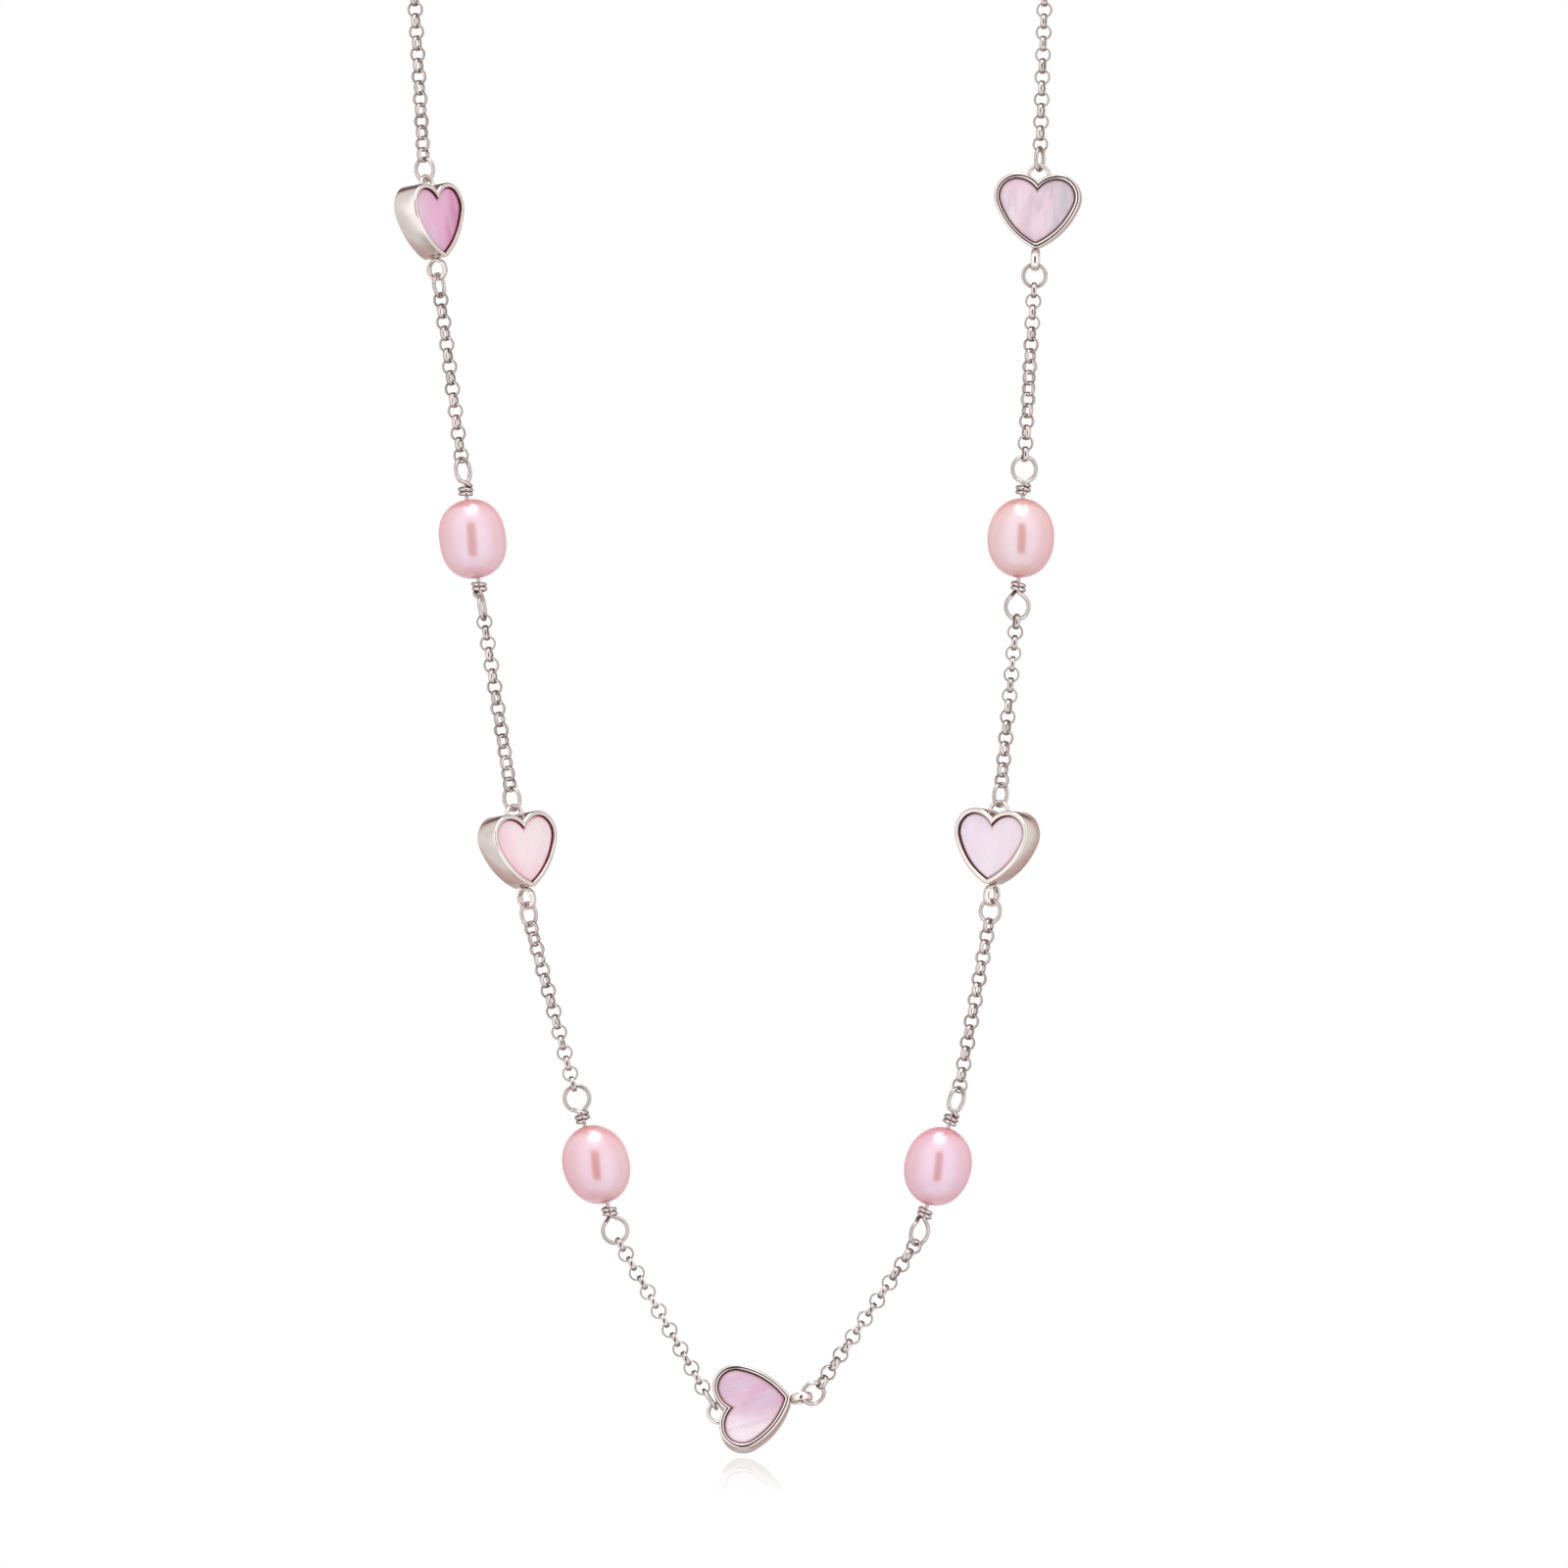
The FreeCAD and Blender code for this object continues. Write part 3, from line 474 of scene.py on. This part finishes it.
def new_piece(name, shape, material, node, place=None, sharp=40):
    """A piece in millimetres about its own origin, set in place for a CAD node, whose body it rides."""
    verts, faces = shape
    mesh = bpy.data.meshes.new(name)
    mesh.from_pydata([tuple(v * MM) for v in verts], [], faces)
    mesh.update()
    mesh.shade_smooth()
    mesh.set_sharp_from_angle(angle=math.radians(sharp))
    mesh.materials.append(material)
    piece = bpy.data.objects.new(name, mesh)
    bpy.context.scene.collection.objects.link(piece)
    if place is not None:
        piece.matrix_world = place
    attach(piece, BODY_OF[node])
    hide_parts(node)
    return piece


def mark_rows(piece, name, row_values, row_length):
    """A named value on every vertex: one for each row of the profile, and 0 on what follows the rows."""
    values = [value for value in row_values for _ in range(row_length)]
    values += [0.0] * (len(piece.data.vertices) - len(values))
    piece.data.attributes.new(name, "FLOAT", "POINT").data.foreach_set("value", values)


def scaled_place(place):
    """A place in metres, for a shape that is still in millimetres."""
    return Matrix.Diagonal((1 / MM, 1 / MM, 1 / MM, 1)) @ place @ Matrix.Diagonal((MM, MM, MM, 1))


def make_links(node):
    """A domed link on every separate solid of a chain node."""
    middle = LINK_RADIUS + LINK_THICKNESS / 2
    link = lathe(oval_section(middle, LINK_WIDTH, LINK_THICKNESS), 48)
    places = [scaled_place(ring_place(points)) for points in separate_solids(node)]
    links = joined([moved(link, place) for place in places])
    new_piece(f"Links_{node}", links, SILVER_CHAIN, node)


def make_ring(node, outer, wire):
    """A split ring of round wire."""
    reach = (outer - wire) / 2
    place = scaled_place(ring_place(separate_solids(node)[0]))
    new_piece(f"Ring_{node}", moved(split_ring(reach, wire / 2), place), SILVER_WIRE, node)


def make_heart(where):
    """A bezel with its two loops, and the two shell hearts set in it."""
    place = heart_place(where)
    half = HEART_DEPTH / 2
    # how far the worn rim falls away, evenly and right at its two edges
    crown, edge_drop = 0.02, 0.15
    front = [(RIM_WIDTH, -PARTITION / 2)]
    for k in range(21):
        u = math.sin(math.pi / 2 * (1 - k / 10))
        drop = crown * u * u + edge_drop * abs(u) ** 4
        front.append((RIM_WIDTH / 2 * (1 + u), -half + drop))
    back = [(inset, -depth) for inset, depth in reversed(front)]
    profile = front + back
    wall = heart_shell(profile)
    cleft = lathe(oval_section(CLEFT_LOOP_RADIUS, CLEFT_LOOP_WIRE, CLEFT_LOOP_WIRE), 64)
    cleft = moved(cleft, Matrix.Translation((0, 0, CLEFT_LOOP_HEIGHT)) @ Matrix.Rotation(math.pi / 2, 4, "X"))
    band = lathe(oval_section(POINT_LOOP_RADIUS, POINT_LOOP_WIDTH, POINT_LOOP_THICKNESS, 20), 64)
    band = moved(band, Matrix.Translation((0, 0, -POINT_LOOP_HEIGHT)) @ Matrix.Rotation(math.pi / 2, 4, "Y"))
    shape = joined([wall, cleft, band])
    bezel = new_piece(f"Bezel_{where}", shape, SILVER_CAST, f"heart_bezel_{where}", place, 38)
    # the painted shade at the foot of the rim starts this far up its inner edge, and is full after the ramp
    shade_start, shade_ramp = 0.11, 0.09
    shade = [min(1.0, max(0.0, (inset - RIM_WIDTH + shade_start) / shade_ramp)) for inset, _ in profile]
    mark_rows(bezel, "painted_recess_shade", shade, len(wall[0]) // len(profile))

    look = dict(SHELL_LOOKS[where])
    seed = look.pop("seed")
    back_seed_step = 31
    inset = RIM_WIDTH + GLUE_GAP
    low = PARTITION / 2 + GLUE_GAP
    top = low + SHELL_THICKNESS
    # rows for the fading edge colour (partly dye, partly painted shade), the rounded edge, and the foot
    profile = [(inset + 0.34, top), (inset + 0.2, top), (inset + 0.12, top),
               (inset + 0.02, top - 0.02), (inset, top - 0.07), (inset, low)]
    dyed_edge_and_painted_shade_rows = (0.0, 0.15, 0.7, 1.0, 1.0, 1.0)
    for face, sign in (("front", -1), ("back", 1)):
        material = shell_inlay(f"HeartInlay_{face}_{where}", seed + (sign > 0) * back_seed_step, **look)
        shape = heart_shell([(i, sign * d) for i, d in profile])
        node = f"inlay_{face}_{where}"
        piece = new_piece(f"HeartInlay_{face}_{where}", shape, material, node, place, 50)
        mark_rows(piece, "dyed_edge_and_painted_shade", dyed_edge_and_painted_shade_rows, len(shape[0]) // len(profile))


def make_pearl(where):
    """An oval pearl with its drill hole, slightly uneven."""
    seed, fullness, light, deep = PEARL_LOOKS[where]
    bore = PEARL_BORE / 2
    rows, segments = 72, 96
    swell_depth, pit_depth = 0.02, 0.0004
    start = math.asin(bore / (PEARL_WIDTH / 2))
    profile = []
    for k in range(rows + 1):
        angle = start + (math.pi - 2 * start) * k / rows
        c, power = math.cos(angle), 2 / fullness
        profile.append((PEARL_WIDTH / 2 * math.sin(angle) ** power,
                        PEARL_LENGTH / 2 * math.copysign(abs(c) ** power, c)))
    verts, faces = lathe(profile, segments)
    lumpy = []
    for v in verts:
        unit = Vector((v.x / PEARL_WIDTH, v.y / PEARL_WIDTH, v.z / PEARL_LENGTH)) * 2
        swell = noise.noise(unit * 0.9 + Vector((seed, 0, 0))) * swell_depth
        pits = noise.noise(unit * 5 + Vector((0, seed, 0))) * pit_depth
        # only inwards, and less towards the drilled ends, so that the holes stay round
        shrink = min(0.0, swell - 0.3 * swell_depth + pits)
        lumpy.append(v * (1 + shrink * min(1.0, unit.xy.length * 2)))
    new_piece(f"Pearl_{where}", (lumpy, faces), nacre_pearl(f"Nacre_{where}", seed, light, deep),
              f"pearl_{where}", joint_place(f"spin_{where}"), 60)


def evenly(points, step):
    """The same line as points, cut into steps of one length."""
    line = [points[0]]
    carried = 0.0
    for start, end in zip(points, points[1:]):
        length = (end - start).length
        along = step - carried
        while along <= length:
            line.append(start + (end - start) * (along / length))
            along += step
        carried = length - (along - step)
    return line


def softened(points, passes):
    """The same line with its corners rounded, its ends kept."""
    for _ in range(passes):
        inner = [(a + b * 2 + c) * 0.25 for a, b, c in zip(points, points[1:], points[2:])]
        points = [points[0]] + inner + [points[-1]]
    return points


def half_wire():
    """The upper half of a pearl's wire: stem, teardrop loop, then wraps down round the stem."""
    lean = math.degrees(math.asin(LOOP / (LOOP_HEIGHT - NECK)))
    points = [Vector((0, 0, 0)), Vector((0, 0, NECK))]
    for k in range(61):
        angle = math.radians(-lean + (180 + 2 * lean) * k / 60)
        points.append(Vector((LOOP * math.cos(angle), 0, LOOP_HEIGHT + LOOP * math.sin(angle))))
    # from the loop across the neck to the front of the first wrap
    points.append(Vector((-0.5, -WRAP_RADIUS * 0.6, NECK + 0.42)))
    points.append(Vector((-0.1, -WRAP_RADIUS, NECK + 0.04)))
    step, passes = 0.07, 14
    line = softened(evenly(points, step), passes)
    wraps = []
    steps = round(WRAP_TURNS * 32)
    for k in range(1, steps + 1):
        angle = math.radians(-90 + 360 * WRAP_TURNS * k / steps)
        drop = WRAP_PITCH * WRAP_TURNS * k / steps
        wraps.append(Vector((WRAP_RADIUS * math.cos(angle), WRAP_RADIUS * math.sin(angle), NECK - drop)))
    return line[:-1] + wraps


def make_pearl_wire(where):
    upper_turn, lower_turn = WIRE_TURNS[where]
    points, radii = rounded_ends(half_wire(), WIRE / 2)
    half = tube(points, radii, 16)
    upper = moved(half, Matrix.Rotation(math.radians(upper_turn), 4, "Z"))
    lower = moved(half, Matrix.Rotation(math.radians(lower_turn), 4, "Z") @ Matrix.Rotation(math.pi, 4, "X"))
    new_piece(f"Wire_{where}", joined([upper, lower]), SILVER_WIRE, f"pearl_wire_{where}",
              joint_place(f"spin_{where}"), 60)


for name in sorted(frame["nodes"]):
    if name.startswith(("chain_", "back_chain_", "end_links_")):
        make_links(name)
    elif name.startswith(("jump_ring_", "clasp_jump_ring")):
        make_ring(name, JUMP_OUTER, JUMP_WIRE)
    elif name == "end_ring":
        make_ring(name, 2 * END_RING_RADIUS + END_RING_WIRE, END_RING_WIRE)
for heart in SHELL_LOOKS:
    make_heart(heart)
for pearl in PEARL_LOOKS:
    make_pearl(pearl)
    make_pearl_wire(pearl)
CLASP = {"clasp_tube": SILVER_CAST, "clasp_bolt": SILVER_CAST, "clasp_spring": SPRING_STEEL}
for node, material in CLASP.items():
    mesh = frame["nodes"][node].data
    mesh.materials.clear()
    mesh.materials.append(material)


# ---------------------------------------------------------------- floor, light and camera

def make_floor():
    """A white glossy table just under the lowest heart, so white that only faint reflections show."""
    low, _ = cad_box
    mesh = bpy.data.meshes.new("Floor")
    half = 3.0
    z = low.z - 0.0002
    corners = [(-half, -half, z), (half, -half, z), (half, half, z), (-half, half, z)]
    mesh.from_pydata(corners, [], [(0, 1, 2, 3)])
    floor = bpy.data.objects.new("Floor", mesh)
    bpy.context.scene.collection.objects.link(floor)
    material = bpy.data.materials.new("WhiteTable")
    material.use_nodes = True
    tree = material.node_tree
    tree.nodes.clear()
    output = tree.nodes.new("ShaderNodeOutputMaterial")
    glow = add(tree, "ShaderNodeEmission", {"Color": (1, 1, 1, 1), "Strength": 1.0})
    gloss = add(tree, "ShaderNodeBsdfAnisotropic", {"Color": (1, 1, 1, 1), "Roughness": 0.012})
    # polished only round the spot under the lowest heart, so that its reflection fades out
    place = tree.nodes.new("ShaderNodeTexCoord").outputs["Object"]
    spot = (HEARTS["5"][0] * MM, 0, z)
    reach = add(tree, "ShaderNodeVectorMath", {0: place, 1: spot}, operation="DISTANCE").outputs["Value"]
    grazing = tree.nodes.new("ShaderNodeFresnel").outputs[0]
    polish = maths(tree, "MULTIPLY", grazing, smooth(tree, reach, 0.0, 0.075, 0.4, 0.0))
    table = add(tree, "ShaderNodeMixShader", {0: polish, 1: glow.outputs[0], 2: gloss.outputs[0]})
    # the studio below the table still shows in the silver
    clear = tree.nodes.new("ShaderNodeBsdfTransparent")
    seen = tree.nodes.new("ShaderNodeLightPath").outputs["Is Camera Ray"]
    mix = add(tree, "ShaderNodeMixShader", {0: seen, 1: clear.outputs[0], 2: table.outputs[0]})
    tree.links.new(mix.outputs[0], output.inputs["Surface"])
    mesh.materials.append(material)


def make_world():
    """White for the camera. For the object, two tall softboxes with a slit between and a lamp overhead."""
    world = bpy.data.worlds.new("Studio")
    bpy.context.scene.world = world
    world.use_nodes = True
    tree = world.node_tree
    tree.nodes.clear()
    output = tree.nodes.new("ShaderNodeOutputWorld")
    direction = tree.nodes.new("ShaderNodeTexCoord").outputs["Generated"]
    part = add(tree, "ShaderNodeSeparateXYZ", {"Vector": direction})
    x, y, z = part.outputs
    azimuth = maths(tree, "ARCTAN2", x, maths(tree, "MULTIPLY", y, -1.0))
    across = maths(tree, "MULTIPLY", maths(tree, "ABSOLUTE", azimuth), 180 / math.pi)
    height = maths(tree, "MULTIPLY", maths(tree, "ARCSINE", z), 180 / math.pi)
    # between the softboxes, where the camera stands
    slit = maths(tree, "SUBTRACT", 1.0, smooth(tree, across, 11, 17))
    slit_height = maths(tree, "MULTIPLY", smooth(tree, height, -38, -33), smooth(tree, height, 38, 31))
    slit = maths(tree, "MULTIPLY", slit, slit_height)
    # the softboxes dim towards the sides, and the warm, darker room behind has a white wall in its middle
    boxes = blend(tree, smooth(tree, across, 40, 90), (1.36, 1.36, 1.38, 1), (0.88, 0.86, 0.85, 1))
    light = blend(tree, smooth(tree, across, 108, 140), boxes, (0.74, 0.58, 0.57, 1))
    light = blend(tree, smooth(tree, across, 160, 172), light, (1, 1, 1, 1))
    # the unlit room high up behind, and the table's dimmer light from below
    high = maths(tree, "MULTIPLY", smooth(tree, across, 132, 148), smooth(tree, height, 20, 32))
    light = blend(tree, maths(tree, "MULTIPLY", high, 0.85), light, (0.1, 0.09, 0.1, 1))
    light = blend(tree, smooth(tree, height, -18, -50, 0.0, 0.14), light, (0.3, 0.28, 0.27, 1))
    light = blend(tree, smooth(tree, height, -55, -80, 0.0, 0.55), light, (0.3, 0.28, 0.27, 1))
    light = blend(tree, slit, light, (0.06, 0.035, 0.03, 1))
    # a lamp overhead, longer than it is wide
    squeezed = stretched(tree, direction, (3.1, 2.0, 0.0), shift=(0, 0.15, 0))
    from_lamp = add(tree, "ShaderNodeVectorMath", {0: squeezed}, operation="LENGTH").outputs["Value"]
    lamp = maths(tree, "MULTIPLY", smooth(tree, from_lamp, 1.15, 0.55), maths(tree, "GREATER_THAN", z, 0.0))
    light = blend(tree, lamp, light, (3.4, 3.4, 3.4, 1))
    studio = add(tree, "ShaderNodeBackground", {"Color": light, "Strength": 1.0})
    white = add(tree, "ShaderNodeBackground", {"Color": (1, 1, 1, 1), "Strength": 1.0})
    seen = tree.nodes.new("ShaderNodeLightPath").outputs["Is Camera Ray"]
    mix = add(tree, "ShaderNodeMixShader", {0: seen, 1: studio.outputs[0], 2: white.outputs[0]})
    tree.links.new(mix.outputs[0], output.inputs["Surface"])


def make_camera():
    """A long lens, level with the middle of the view, a little to the right of the necklace's middle."""
    distance = 1.2
    view_width = 0.1702
    data = bpy.data.cameras.new("Camera")
    data.sensor_width = 36
    data.lens = 36 * distance / view_width
    camera = bpy.data.objects.new("Camera", data)
    camera.location = (0.0061, -distance, -0.1324)
    camera.rotation_euler = (math.pi / 2, 0, 0)
    bpy.context.scene.collection.objects.link(camera)
    bpy.context.scene.camera = camera


make_floor()
make_world()
make_camera()
bpy.context.scene.view_settings.view_transform = "Standard"
